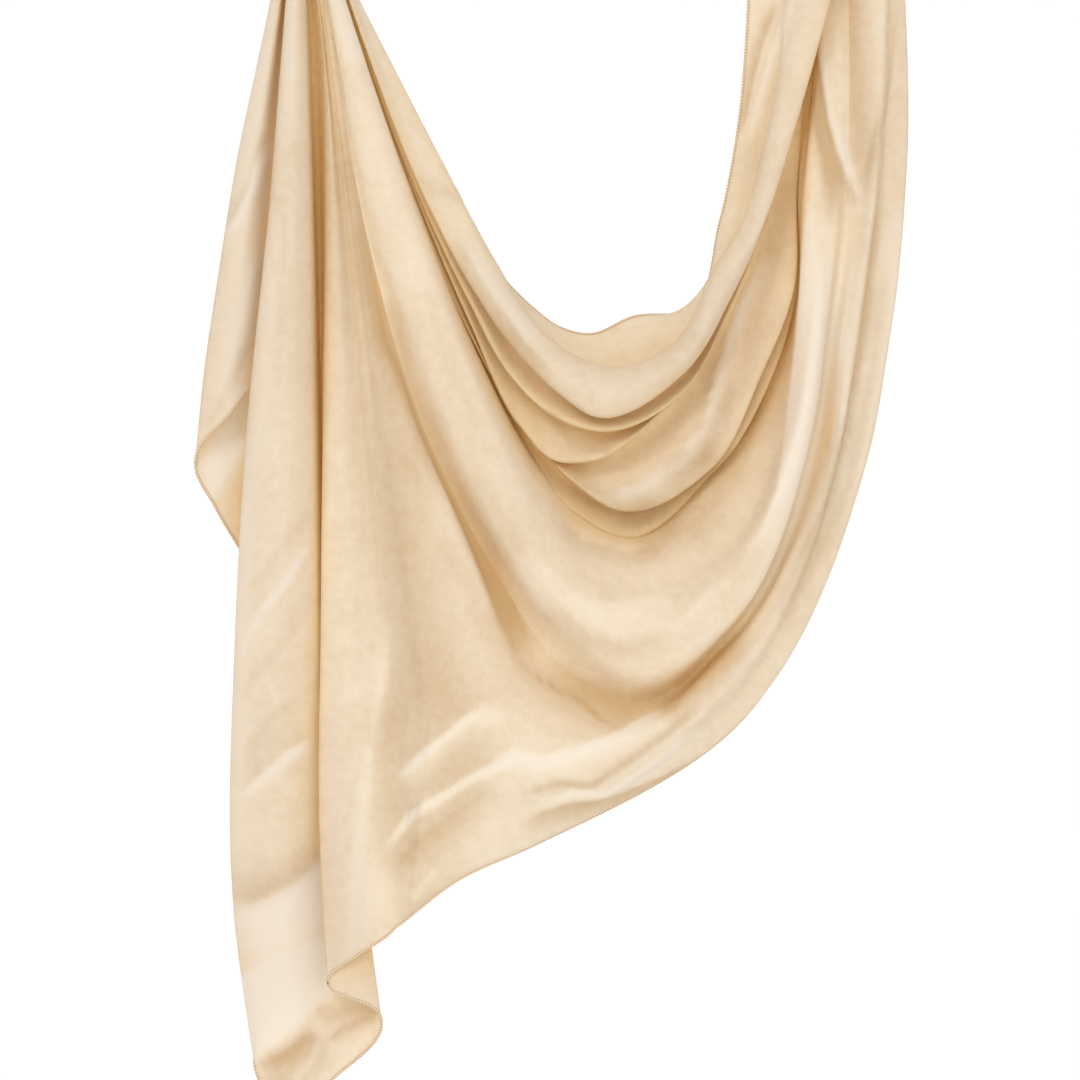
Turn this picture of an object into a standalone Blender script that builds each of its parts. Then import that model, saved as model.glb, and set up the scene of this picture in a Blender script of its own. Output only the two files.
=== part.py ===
"""Draped hijab: one long rectangle of thin cloth, gathered at two holds and hanging between and below them.

Every fold runs out of the left hold. The swag's folds sag and rise again to the right hold, and the
fall's folds hang straight down to the hem. Each fold is a row across the cloth, in order from the top
edge to the side edge, so the cloth is one surface, cut into stretches at its hidden troughs.
Metres, +Z up, origin at the left hold, -Y towards the viewer.
"""

import bmesh
import bpy
import numpy as np
from mathutils import Vector

# Driving dimensions, in millimetres
WALL = 1.2  # cloth with its crinkle
HOLD_SPACING = 391.0  # left hold to right hold
HEM_ROLL = 2.2  # diameter of the narrow rolled hem
SEAM_GAP = 0.9  # between two stretches of the cloth
HEM_GAP = 0.35  # between the cloth and its rolled hem

MM = 0.001
WELD = 1e-7
LEAST_LENGTH = 1e-6  # keeps a division by a length from failing where two points meet
HEM_RESOLUTION = 2
MOST_REACH = 2.0  # how far a short span's direction may carry on into a long one, in its own lengths
LEAST_TURN = 0.6  # how sharp a fold's turn may be: 1 is a crease, 0 a full round
LEAST_SQUARE = 0.5  # how slantwise a row may meet an edge before its inset stops growing
NEAR_HOLD = 0.15  # share of a fold's depth that is left where it nears a hold

# How finely the cloth is divided along each span of a swag line and of a fall line
SWAG_SPANS = (7, 9, 6, 5, 6, 6, 4)
FALL_SPANS = (2, 3, 3, 3, 3, 2)

# Lines that the swag's folds follow, in mm across from the left hold and down from it
# line, upper left, left shoulder, lowest part, lower right, right side, upper right
SWAG_LINES = (
    ("top_edge", 100, 174, 179, 282, 219, 292, 278, 278, 300, 249, 322, 150),
    ("roll_top", 106, 172, 176, 295, 225, 321, 278, 309, 308, 242, 332, 141),
    ("roll_front", 98, 192, 169, 301, 222, 338, 279, 317, 312, 259, 349, 148),
    ("roll_low", 90, 200, 161, 306, 218, 355, 280, 325, 316, 272, 362, 154),
    ("second_low", 88, 204, 156, 330, 220, 368, 288, 336, 322, 282, 366, 166),
    ("great_low", 84, 207, 174, 381, 234, 428, 304, 396, 342, 324, 369, 184),
    ("swag_top", 80, 209, 176, 420, 241, 455, 302, 412, 350, 345, 372, 192),
    ("panel_edge", 76, 212, 173, 430, 250, 488, 312, 456, 358, 366, 375, 198),
    ("swag_crest", 69, 218, 165, 442, 256, 519, 302, 497, 369, 370, 388, 208),
    ("swag_low", 59, 226, 154, 456, 250, 548, 310, 514, 379, 371, 402, 210),
    ("valley", 50, 235, 146, 480, 244, 572, 315, 523, 386, 374, 410, 210),
    ("band_top", 46.5, 239, 138, 499, 220, 602, 304, 546, 392, 378, 417, 204),
    ("band_crest", 41, 244, 112, 562, 206, 624, 312, 556, 397, 381, 425, 199),
    ("strip", 38.5, 247, 86, 645, 182, 654, 318, 564, 402, 384, 430, 195),
    ("side_turn", 36, 250, 74, 724, 166, 677, 332, 576, 422, 386, 451, 165),
    ("hem", 33, 252, 70, 739, 160, 682, 328, 580, 413, 392, 440, 188),
)

# Rows across the swag, top edge to hem, in mm: the line each follows and how far over it lies towards
# another, its place in the left hold's bunch, its depth away from the viewer at the left shoulder, the
# lowest part and the right side, its place in the right hold's bunch, and the steps to the next row
# row, line, towards, share, left x, y, depth left, low, right, right x, y, steps
SWAG_ROWS = (
    ("top_edge", "top_edge", "roll_top", 0, 4, 19, 34, 42, 38, -50, 14, 1),
    ("back_band", "top_edge", "roll_top", 0.5, 10, 18, 18, 20, 16, -43, 10, 1),
    ("roll_back", "roll_top", "roll_front", 0, 14.5, 15, 2, -4, 0, -35, 5, 1),
    ("roll_top", "roll_top", "roll_front", 0.3, 17.5, 10.5, -12, -20, -12, -29, -1, 2),
    ("roll_front", "roll_front", "roll_low", 0, 19.5, 4, -24, -34, -26, -14, -13, 2),
    ("roll_low", "roll_low", "second_low", 0, 18, -1, -16, -28, -20, -3, -12, 2),
    ("under_roll", "roll_low", "second_low", 0.2, 15, 2.5, 4, 0, 4, -9, -4, 2),
    ("second_fold", "second_low", "great_low", 0, 13, 5.5, -10, -18, 1, -12.5, 3.5, 2),
    ("under_second", "second_low", "great_low", 0.2, 11.3, 8.5, 6, 6, 9, -12, 9, 2),
    ("great_fold", "great_low", "swag_top", 0, 9.3, 10.8, 2, -6, 0, 3, 19.5, 2),
    ("under_great", "great_low", "swag_top", 0.25, 7.2, 10.8, 14, 16, 14, 11, 19, 2),
    ("pocket", "swag_top", "great_low", 0.3, 6, 8, 22, 28, 26, 14, 15, 2),
    ("swag_top", "swag_top", "panel_edge", 0, 15.5, -6, -20, -4, 13, 8, 12, 2),
    ("panel_edge", "panel_edge", "swag_crest", 0, 13.2, -11.5, -32, -24, -4, -6, 5, 2),
    ("swag_crest", "swag_crest", "swag_low", 0, 11, -13, -36, -32, -24, 0, 3.5, 2),
    ("swag_low", "swag_low", "valley", 0, 8, -9, -26, -26, -20, 7, 3.5, 2),
    ("valley", "valley", "band_top", 0, 11, -3.4, 6, 6, -2, 12, 2, 2),
    ("band_top", "band_top", "band_crest", 0, 8.8, -1.9, -6, -14, -12, -3, -5, 2),
    ("band_crest", "band_crest", "strip", 0, 7.8, -1.2, -14, -20, -16, 42, -6, 1),
    ("strip", "strip", "side_turn", 0, 6.9, -0.6, -10, -14, -10, 46, 0, 1),
    ("side_turn", "side_turn", "hem", 0, 6, 0, -10, -12, -4, 53, 3, 1),
    ("hem", "hem", "hem", 0, 5.2, 0.6, -8, -8, 14, 43, 12, 2),
)

# The hem meets the fall at the left shoulder, so these rows turn a corner there
CORNER_ROWS = ("strip", "side_turn", "hem")

# Rows down the fall, from the swag's hem to the tuck behind its front fold, then those of the outer fold
# behind that, in mm: the place in the left hold's bunch, the distance across at each share of the drop,
# the end across and down, the depth high, low and at the end, and the steps to the next row
DROP_SHARES = (0.10, 0.25, 0.42, 0.63, 0.85)
# row, left x, y, x at each share, end x, end down, depth high, low, end, steps
FALL_ROWS = (
    ("panel_mid", 3.8, 1.5, 12.6, 21.3, 27.6, 34.3, 38, 38, 762, -8, -10, -8, 2),
    ("panel_turn", 2.4, 2.8, 9.6, 14.5, 15, 13.1, 11, 18, 779, -5, -10, -9, 2),
    ("gap", 0.5, 8, 5.3, 9, 12.3, 17.3, 37.5, 55, 807, 20, 7, 0, 2),
    ("front_turn", -2, -5, -0.3, 2.3, 4.1, 8.5, 11, 11, 865, -10, -2, 12, 2),
    ("front_crest", -6.5, -10, -9.5, -13.1, -15.2, -18.3, -16.5, -10, 883, -24, -16, 2, 2),
    ("front_edge", -11, -5, -17.7, -27.6, -40, -50.8, -51.2, -33, 849, -10, -4, 1, 2),
    ("side_tuck", -7.5, 4, -9.6, -12.3, -14.5, -15, -12.5, -8, 780, 9, 9, 17, 2),
)
OUTER_ROWS = (
    ("outer_tuck", -7.5, 5.7, -8.5, -9.9, -11.4, -12.7, -13.9, -14.6, 330, 7.8, 10.5, 10.7, 2),
    ("side_rise", -13.5, 4, -15.6, -18.8, -23, -28.3, -33.5, -38, 338, 6, 6, 5, 2),
    ("outer_crest", -16.5, -2, -18.5, -25.3, -34.1, -43.9, -53.3, -58, 358, -8, -8, -4, 2),
    ("outer_turn", -20, 3, -25.8, -36.2, -49.8, -64.7, -77.9, -85, 391, 4, 4, 4, 2),
    ("under_mid", -15.5, 10, -21.8, -30.2, -40.2, -53.1, -63.2, -69, 426, 15, 15, 12, 2),
    ("under_edge", -6, 14, -14.9, -19.8, -24, -29.9, -36.3, -42, 471, 23, 22, 16, 2),
)

LIGHT_CLOTH = (0.86, 0.71, 0.50)
SHADED_CLOTH = (0.72, 0.54, 0.34)
HEM_THREAD = (0.55, 0.37, 0.20)


def smooth_line(knots, spans, corners=()):
    """Points on a smooth curve through the knots, with so many steps in each span and a break at each corner."""
    knots = np.asarray(knots, float)
    steps = np.diff(knots, axis=0)
    lengths = np.maximum(np.linalg.norm(steps, axis=-1, keepdims=True), LEAST_LENGTH)
    slopes = steps / lengths
    middle = (slopes[:-1] * lengths[1:] + slopes[1:] * lengths[:-1]) / (lengths[:-1] + lengths[1:])
    middle /= np.maximum(np.linalg.norm(middle, axis=-1, keepdims=True), LEAST_TURN)
    first = 1.5 * slopes[:1] - 0.5 * middle[:1]
    last = 1.5 * slopes[-1:] - 0.5 * middle[-1:]
    reach_out = np.minimum(lengths, np.concatenate([lengths[:1], lengths[:-1] * MOST_REACH]))
    reach_in = np.minimum(lengths, np.concatenate([lengths[1:] * MOST_REACH, lengths[-1:]]))
    leaving = np.concatenate([first, middle]) * reach_out
    arriving = np.concatenate([middle, last]) * reach_in
    for corner in corners:
        leaving[corner] = steps[corner]
        arriving[corner - 1] = steps[corner - 1]
    points = [knots[0]]
    for i, count in enumerate(spans):
        for k in range(1, count + 1):
            u = k / count
            blend = 3 * u * u - 2 * u * u * u
            bend_out = u * (1 - u) ** 2
            bend_in = u * u * (u - 1)
            points.append(knots[i] + blend * steps[i] + bend_out * leaving[i] + bend_in * arriving[i])
    return np.array(points)


def swag_row(row):
    """One row of the swag, from the left hold to the right one, in mm: across, away and up."""
    name, line, towards, share, left_x, left_y, left, low, right, right_x, right_y, _ = row
    lines = {key: np.array(values, float).reshape(-1, 2) for key, *values in SWAG_LINES}
    stations = lines[line] * (1 - share) + lines[towards] * share
    near_left = left_y + (left - left_y) * NEAR_HOLD
    near_right = right_y + (right - right_y) * NEAR_HOLD
    depths = (near_left, left, low, (low + right) / 2, right, near_right)
    knots = [(left_x, left_y, 0)]
    knots += [(x, away, -down) for (x, down), away in zip(stations, depths)]
    knots.append((HOLD_SPACING + right_x, right_y, 0))
    return smooth_line(knots, SWAG_SPANS, corners=(2,) if name in CORNER_ROWS else ())


def fall_row(row):
    """One row of the fall, from the left hold to the hem, in mm."""
    _, left_x, left_y, *across, end_x, end_down, depth_high, depth_low, depth_end, _ = row
    depths = np.interp(DROP_SHARES, (0, 0.3, 0.7, 1), (left_y, depth_high, depth_low, depth_end))
    knots = [(left_x, left_y, 0)]
    knots += [(x, depth, -share * end_down) for x, depth, share in zip(across, depths, DROP_SHARES)]
    knots.append((end_x, depth_end, -end_down))
    return smooth_line(knots, FALL_SPANS)


def inward(edge, inner):
    """The way from each point of an edge to the row inside it, long enough to go 1 mm in square to the edge."""
    along = np.gradient(edge, axis=0)
    along /= np.maximum(np.linalg.norm(along, axis=-1, keepdims=True), LEAST_LENGTH)
    way = inner - edge
    way /= np.maximum(np.linalg.norm(way, axis=-1, keepdims=True), LEAST_LENGTH)
    square = np.linalg.norm(way - (way * along).sum(axis=-1, keepdims=True) * along, axis=-1, keepdims=True)
    return way / np.maximum(square, LEAST_SQUARE)


def material(name, colour, roughness):
    made = bpy.data.materials.new(name)
    made.use_nodes = True
    shader = made.node_tree.nodes["Principled BSDF"]
    shader.inputs["Base Color"].default_value = (*colour, 1)
    shader.inputs["Roughness"].default_value = roughness
    shader.inputs["Metallic"].default_value = 0
    return made


def add_cloth(name, grids, finish):
    """One stretch of cloth as a named wall, from grids of points in mm that share their meeting line."""
    cloth = bmesh.new()
    for points in grids:
        grid = [[cloth.verts.new(Vector(point) * MM) for point in line] for line in points]
        for upper, lower in zip(grid, grid[1:]):
            for i in range(len(upper) - 1):
                cloth.faces.new((upper[i], upper[i + 1], lower[i + 1], lower[i]))
    bmesh.ops.remove_doubles(cloth, verts=cloth.verts, dist=WELD)
    mesh = bpy.data.meshes.new(name)
    cloth.to_mesh(mesh)
    cloth.free()
    mesh.shade_smooth()
    mesh.materials.append(finish)
    wall = bpy.data.objects.new(name, mesh)
    thickness = wall.modifiers.new("Cloth thickness", "SOLIDIFY")
    thickness.thickness = WALL * MM
    thickness.offset = 0
    thickness.use_quality_normals = True
    hijab.objects.link(wall)


def add_hem(name, edge, inner, finish):
    """A rolled hem as a tube just inside an edge of the cloth, from points in mm."""
    middle = (edge + inward(edge, inner) * HEM_ROLL / 2) * MM
    curve = bpy.data.curves.new(name, "CURVE")
    curve.dimensions = "3D"
    curve.bevel_depth = HEM_ROLL / 2 * MM
    curve.bevel_resolution = HEM_RESOLUTION
    curve.use_fill_caps = True
    spline = curve.splines.new("POLY")
    spline.points.add(len(middle) - 1)
    for point, place in zip(spline.points, middle):
        point.co = (*place, 1)
    curve.materials.append(finish)
    hijab.objects.link(bpy.data.objects.new(name, curve))


def stretch(surface, starts, first, last):
    """The part of a surface between two rows, from just past the first to just past the last."""
    start = starts[first]
    end = starts[last]
    piece = surface[start + (start > 0) : end + 2].copy()
    if start > 0:
        piece[0] += inward(piece[0], piece[1]) * SEAM_GAP / 2
    if end + 1 < len(surface):
        piece[-1] += inward(piece[-1], piece[-2]) * SEAM_GAP / 2
    return piece


def starts_of(rows):
    """Where each row lies in the surface made through them."""
    places = np.concatenate([[0], np.cumsum([row[-1] for row in rows])])
    return {row[0]: int(place) for row, place in zip(rows, places)}


for leftover in list(bpy.data.objects):
    bpy.data.objects.remove(leftover, do_unlink=True)

hijab = bpy.data.collections.new("Hijab")
bpy.context.scene.collection.children.link(hijab)
light = material("Light cloth", LIGHT_CLOTH, 0.8)
shaded = material("Shaded cloth", SHADED_CLOTH, 0.8)
thread = material("Hem thread", HEM_THREAD, 0.7)

swag_starts = starts_of(SWAG_ROWS)
swag = smooth_line([swag_row(row) for row in SWAG_ROWS], [row[-1] for row in SWAG_ROWS[:-1]])
meeting = sum(SWAG_SPANS[:2])
fall_rows = (SWAG_ROWS[-1], *FALL_ROWS)
fall_starts = starts_of(fall_rows)
fall_lines = [swag[-1][: meeting + 1]] + [fall_row(row) for row in FALL_ROWS]
fall = smooth_line(fall_lines, [row[-1] for row in fall_rows[:-1]])
outer_starts = starts_of(OUTER_ROWS)
outer = smooth_line([fall_row(row) for row in OUTER_ROWS], [row[-1] for row in OUTER_ROWS[:-1]])

bottom_end = fall_starts["panel_turn"]
bottom_edge = np.concatenate([swag[-1][:meeting:-1], fall[:bottom_end, -1]])
bottom_inner = np.concatenate([swag[-2][:meeting:-1], fall[:bottom_end, -2]])
add_hem("bottom_hem", bottom_edge, bottom_inner, thread)
front_hem = slice(fall_starts["front_turn"], fall_starts["front_edge"])
add_hem("front_hem", fall[front_hem, -1], fall[front_hem, -2], thread)
add_hem("top_hem", swag[0], swag[1], thread)
outer_end = outer_starts["outer_turn"]
add_hem("outer_hem", outer[1:outer_end, -1], outer[1:outer_end, -2], thread)
side_edge = np.concatenate([outer[outer_end + 1 : -1, -1], outer[-1][::-1]])
side_inner = np.concatenate([outer[outer_end + 1 : -1, -2], outer[-2][::-1]])
add_hem("side_hem", side_edge, side_inner, thread)

hem_width = HEM_ROLL + HEM_GAP
swag[0] += inward(swag[0], swag[1]) * hem_width
swag[-1][meeting + 1 :] += inward(swag[-1], swag[-2])[meeting + 1 :] * hem_width
fall[:, -1] += inward(fall[:, -1], fall[:, -2]) * hem_width
outer[:, -1] += inward(outer[:, -1], outer[:, -2]) * hem_width
outer[-1] += inward(outer[-1], outer[-2]) * hem_width
swag[-1][meeting] = fall[0][-1]

add_cloth("front_roll", [stretch(swag, swag_starts, "top_edge", "under_roll")], light)
add_cloth("inner_folds", [stretch(swag, swag_starts, "under_roll", "pocket")], shaded)
add_cloth("swag_panel", [stretch(swag, swag_starts, "pocket", "valley")], light)
lower_band = stretch(swag, swag_starts, "valley", "hem")
fall_panel = stretch(fall, fall_starts, "hem", "gap")
add_cloth("main_panel", [lower_band, fall_panel], shaded)
add_cloth("front_fall", [stretch(fall, fall_starts, "gap", "side_tuck")], light)
add_cloth("outer_fall", [outer], shaded)
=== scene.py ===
"""Looks of the draped hijab: thin sheer cloth in deep folds, with its narrow whipped hems.

Metres, +Z up, origin at the left hold, -Y towards the viewer. Tables are in millimetres: across from
the left hold, down from it, and depth away from the viewer.
"""

import bmesh
import bpy
import numpy as np
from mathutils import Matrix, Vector, noise
from mathutils.bvhtree import BVHTree


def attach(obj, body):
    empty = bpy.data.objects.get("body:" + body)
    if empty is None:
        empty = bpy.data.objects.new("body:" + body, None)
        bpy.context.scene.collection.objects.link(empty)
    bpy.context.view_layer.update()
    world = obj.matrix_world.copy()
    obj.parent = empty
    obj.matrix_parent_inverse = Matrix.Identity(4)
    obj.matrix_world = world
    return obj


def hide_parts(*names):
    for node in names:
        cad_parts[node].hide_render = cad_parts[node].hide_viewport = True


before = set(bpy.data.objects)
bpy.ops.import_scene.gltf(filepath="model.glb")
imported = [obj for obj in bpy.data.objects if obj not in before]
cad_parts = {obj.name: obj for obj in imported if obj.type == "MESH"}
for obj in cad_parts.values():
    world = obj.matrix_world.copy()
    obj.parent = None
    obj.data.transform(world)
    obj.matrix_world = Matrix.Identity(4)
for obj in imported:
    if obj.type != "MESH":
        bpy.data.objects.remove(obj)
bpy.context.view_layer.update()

# The drape
# ---------
# One long rectangle of thin, slightly sheer woven cloth, beige, with a fine crinkle.
# It is gathered at two holds: folds sag between them, and below the left hold the rest falls straight.
# Rows run along the folds, in order across the cloth from its top edge to its side edge.
MM = 0.001
HOLD_SPACING = 391.0
CLOTH = 0.3  # thickness
WELD = 1e-7  # the most that points on a shared edge may be apart, in metres

# How the rows are drawn and how fine the cloth is
FINE_ALONG = 9  # steps along the cloth for each step of a span
FINE_ACROSS = 3.9  # the most that the widest step across may be
LEAST_STEPS = 3  # the fewest steps across from one row to the next
LEAST_LENGTH = 1e-9  # what no vector's length is taken to be below
LEAST_SPAN = 1e-6  # what no span's length is taken to be below
END_BEND = 0.5  # how much of its first bend a curve keeps at its end
MOST_REACH = 2.0  # how far a short span's direction may carry on into a long one, in its own lengths
LEAST_TURN = 0.45  # how sharp a fold's turn may be: 1 is a crease, 0 a full round
NEAR_HOLD = 0.2  # share of a fold's depth that is left where it nears a hold
# Steps in each span of a row: from the left hold to the right one, and from the left hold to the hem
SWAG_SPANS = (8, 5, 13, 3, 3, 5, 6, 3, 3, 4)
FALL_SPANS = (2, 4, 4, 6, 6, 4)
CORNER = 3  # the place of the hem's corner among the swag's spans
MEETING_SPANS = 4  # how many spans' steps it takes to ease the right side onto the left one

# line, then across and down at: upper left, left side, left shoulder, low left, lowest, lower right,
# right side, mid right, upper right
SWAG_LINES = (
    ("top_edge", 99, 174, 138, 240, 168, 272, 190, 288, 213, 293, 246, 280, 289, 276, 311, 210, 323, 146),
    ("roll_top", 105, 172, 145, 246, 172, 288, 196, 309, 226, 320, 272, 306, 306, 246, 326, 213, 342, 158),
    ("roll_front", 100, 190, 137, 254, 167, 303, 192, 328, 221, 341, 278, 321, 312, 262, 336, 222, 353, 150),
    ("roll_low", 91, 198, 124, 260, 161, 312, 190, 340, 217, 357, 283, 325, 316, 272, 343, 214, 364, 148),
    ("second_low", 89, 202, 122, 270, 155, 329, 183, 355, 220, 368, 283, 339, 315, 284, 342, 217, 364, 150),
    ("third_low", 88, 206, 122, 285, 160, 364, 187, 391, 214, 391, 264, 357, 313, 288, 342, 220, 364, 153),
    ("great_low", 87.5, 209, 124, 298, 172, 378, 199, 406, 235, 428, 303, 397, 342, 324, 366, 262, 369, 184),
    ("fifth_low", 87, 211, 124, 303, 178, 407, 208, 434, 238, 449, 304, 403, 347, 334, 368, 268, 371, 188),
    ("swag_top", 86, 213, 121, 302, 178, 418, 205, 446, 244, 456, 303, 404, 350, 345, 369, 272, 372, 192),
    ("panel_edge", 79, 214, 114, 303, 171, 430, 203, 466, 250, 486, 312, 454, 358, 366, 370, 278, 374, 196),
    ("swag_crest", 70, 219, 104, 308, 163, 442, 200, 494, 252, 519, 303, 496, 369, 370, 382, 284, 388, 206),
    ("swag_low", 59, 226, 93, 322, 154, 456, 199, 518, 252, 549, 311, 514, 376, 371, 388, 292, 398, 209),
    ("valley", 50, 240, 80, 345, 146, 480, 192, 544, 250, 571, 316, 523, 383, 374, 394, 296, 404, 212),
    ("band_top", 46.5, 244, 71, 355, 133, 492, 178, 580, 228, 602, 308, 548, 394, 380, 402, 300, 415, 210),
    ("band_crest", 41, 248, 62, 372, 108, 535, 160, 612, 214, 628, 314, 562, 398, 382, 409, 302, 424, 200),
    ("strip", 38.5, 250, 54, 390, 88, 645, 138, 650, 186, 657, 321, 569, 402, 384, 416, 302, 431, 188),
    ("side_turn", 36, 252, 49, 400, 77, 722, 118, 697, 176, 674, 333, 572, 420, 386, 441, 275, 451, 157),
    ("hem", 33, 252, 46, 404, 68, 740, 112, 706, 172, 678, 329, 583, 411, 392, 430, 284, 441, 182),
)

# row, line, towards, share, left hold x and depth, depth at the left shoulder, lowest part and right side,
# right hold x and depth
SWAG_ROWS = (
    ("top_edge", "top_edge", "roll_top", 0, 4, 19, 34, 42, 38, -58, 14),
    ("back_band", "top_edge", "roll_top", 0.5, 10, 18, 22, 30, 24, -48, 12),
    ("roll_back", "roll_top", "roll_front", 0.6, 14.5, 15, 6, 8, 6, -34, 6),
    ("roll_top", "roll_top", "roll_front", 0, 17.5, 10.5, -10, -14, -10, -20, -4),
    ("roll_front", "roll_front", "roll_low", 0, 19.5, 4, -24, -35, -26, 2, -14),
    ("roll_low", "roll_low", "second_low", 0, 18, -1, -17, -29, -20, 14, -13),
    ("under_roll", "roll_low", "roll_front", 0.3, 15, 2.5, 3, -2, 3, 4, -5),
    ("second_fold", "second_low", "great_low", 0, 13, 5.5, -9, -17, -4, -4, 2),
    ("under_second", "second_low", "roll_low", 0.4, 12.1, 7.2, 6, 4, 9, -8, 6),
    ("third_fold", "third_low", "great_low", 0, 11.2, 8.5, -3, -11, 4, -8, 10),
    ("under_third", "third_low", "second_low", 0.25, 10.4, 9.8, 10, 9, 12, -5, 14),
    ("great_fold", "great_low", "swag_top", 0, 9.3, 10.8, 0, -9, -3, 3, 19.5),
    ("under_great", "great_low", "third_low", 0.2, 8, 10.9, 13, 12, 13, 9, 19.5),
    ("fifth_fold", "fifth_low", "swag_top", 0, 7, 10.4, 6, 6, 11, 12, 18),
    ("pocket", "fifth_low", "great_low", 0.6, 6, 8, 22, 26, 25, 16, 15),
    ("swag_top", "swag_top", "panel_edge", 0, 15.5, -6, -18, -3, 13, 14, 12),
    ("panel_edge", "panel_edge", "swag_crest", 0, 13.2, -11.5, -32, -20, -6, 2, 4),
    ("swag_crest", "swag_crest", "swag_low", 0, 11, -13, -36, -32, -24, 5, 3.5),
    ("swag_low", "swag_low", "valley", 0, 8, -9, -26, -26, -20, 10, 3.5),
    ("valley", "valley", "band_top", 0, 11, -3.4, 7, 8, 0, 15, 2),
    ("band_top", "band_top", "band_crest", 0, 8.8, -1.9, -8, -14, -14, 22, -3),
    ("band_crest", "band_crest", "strip", 0, 7.8, -1.2, -14, -20, -18, 44, -8),
    ("strip", "strip", "side_turn", 0, 6.9, -0.6, -10, -14, -8, 48, -1),
    ("side_turn", "side_turn", "hem", 0, 6, 0, -10, -12, -6, 56, 2),
    ("hem", "hem", "hem", 0, 5.2, 0.6, -8, -8, 14, 46, 12),
)
CORNER_ROWS = ("strip", "side_turn", "hem")  # they turn sharply at the hem's corner

# row, left hold x and depth, across at each share of the drop, end across and down, depth high, low and at
# the end
DROP_SHARES = (0.10, 0.25, 0.42, 0.63, 0.85)
DEPTH_SHARES = (0, 0.3, 0.7, 1)  # where the hold's depth, the high one, the low one and the end's lie
FALL_ROWS = (
    ("panel_mid", 3.8, 1.5, 12.6, 21.3, 27.6, 34.3, 38, 37, 763, -8, -10, -8),
    ("panel_turn", 2.4, 2.8, 11.5, 16, 16, 13, 11, 17, 779, -5, -10, -9),
    ("gap", 0.5, 8, 5.3, 9, 12.3, 17.3, 40, 56, 808, 20, 7, 0),
    ("front_turn", -2, -5, -0.3, 2.3, 4.1, 8.5, 11, 14, 862, -10, -2, 12),
    ("front_crest", -6.5, -10, -9.5, -13.1, -15.2, -18.3, -16.5, -10, 886, -24, -16, 2),
    ("front_edge", -11, -5, -17.7, -27.6, -42, -52, -52.5, -36, 854, -10, -4, 1),
    ("side_tuck", -7.5, 4, -9.6, -12.3, -14.5, -15, -12.5, -8, 780, 9, 9, 17),
)
OUTER_ROWS = (
    ("outer_tuck", -7.5, 5.7, -8.5, -9.9, -11.4, -12.7, -13.9, -14.6, 330, 7.8, 10.5, 10.7),
    ("side_rise", -13.5, 4, -15.6, -18.8, -23, -28.3, -33.5, -38, 334, 6, 6, 5),
    ("outer_crest", -16.5, -2, -18.5, -26.5, -36, -46, -54, -58, 357, -8, -8, -4),
    ("outer_turn", -20, 3, -26, -38, -52, -65.5, -78, -84, 392, 4, 4, 4),
    ("under_mid", -15.5, 10, -21.8, -30.2, -40.2, -53.1, -63.2, -69, 426, 15, 15, 12),
    ("under_edge", -6, 14, -14.9, -19.8, -24, -29.9, -36.3, -42, 471, 23, 22, 16),
)


def unit(vectors):
    """The vectors at length 1."""
    return vectors / np.maximum(np.linalg.norm(vectors, axis=-1, keepdims=True), LEAST_LENGTH)


def smooth_line(knots, spans, corners=()):
    """Points on a smooth curve through the knots, with so many steps in each span.

    It breaks at each corner.
    """
    knots = np.asarray(knots, float)
    steps = np.diff(knots, axis=0)
    lengths = np.maximum(np.linalg.norm(steps, axis=-1, keepdims=True), LEAST_SPAN)
    slopes = steps / lengths
    middle = (slopes[:-1] * lengths[1:] + slopes[1:] * lengths[:-1]) / (lengths[:-1] + lengths[1:])
    middle /= np.maximum(np.linalg.norm(middle, axis=-1, keepdims=True), LEAST_TURN)
    first = (1 + END_BEND) * slopes[:1] - END_BEND * middle[:1]
    last = (1 + END_BEND) * slopes[-1:] - END_BEND * middle[-1:]
    reach_out = np.minimum(lengths, np.concatenate([lengths[:1], lengths[:-1] * MOST_REACH]))
    reach_in = np.minimum(lengths, np.concatenate([lengths[1:] * MOST_REACH, lengths[-1:]]))
    leaving = np.concatenate([first, middle]) * reach_out
    arriving = np.concatenate([middle, last]) * reach_in
    for corner in corners:
        leaving[corner] = steps[corner]
        arriving[corner - 1] = steps[corner - 1]
    points = [knots[0]]
    for i, count in enumerate(spans):
        for k in range(1, count + 1):
            u = k / count
            blend = 3 * u * u - 2 * u * u * u
            bend_out = u * (1 - u) ** 2
            bend_in = u * u * (u - 1)
            points.append(knots[i] + blend * steps[i] + bend_out * leaving[i] + bend_in * arriving[i])
    return np.array(points)


def swag_row(row):
    """One row of the swag, from the left hold to the right one: across, away and up."""
    name, line, towards, share, left_x, left_y, left, low, right, right_x, right_y = row
    lines = {key: np.array(values, float).reshape(-1, 2) for key, *values in SWAG_LINES}
    stations = lines[line] * (1 - share) + lines[towards] * share
    near_left = left_y + (left - left_y) * NEAR_HOLD
    near_right = right_y + (right - right_y) * NEAR_HOLD
    depths = (
        near_left,
        (near_left + left) / 2,
        left,
        (left + low) / 2,
        low,
        (low + right) / 2,
        right,
        (right + near_right) / 2,
        near_right,
    )
    knots = [(left_x, left_y, 0)]
    knots += [(x, away, -down) for (x, down), away in zip(stations, depths)]
    knots.append((HOLD_SPACING + right_x, right_y, 0))
    spans = [count * FINE_ALONG for count in SWAG_SPANS]
    return smooth_line(knots, spans, corners=(CORNER,) if name in CORNER_ROWS else ())


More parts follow.
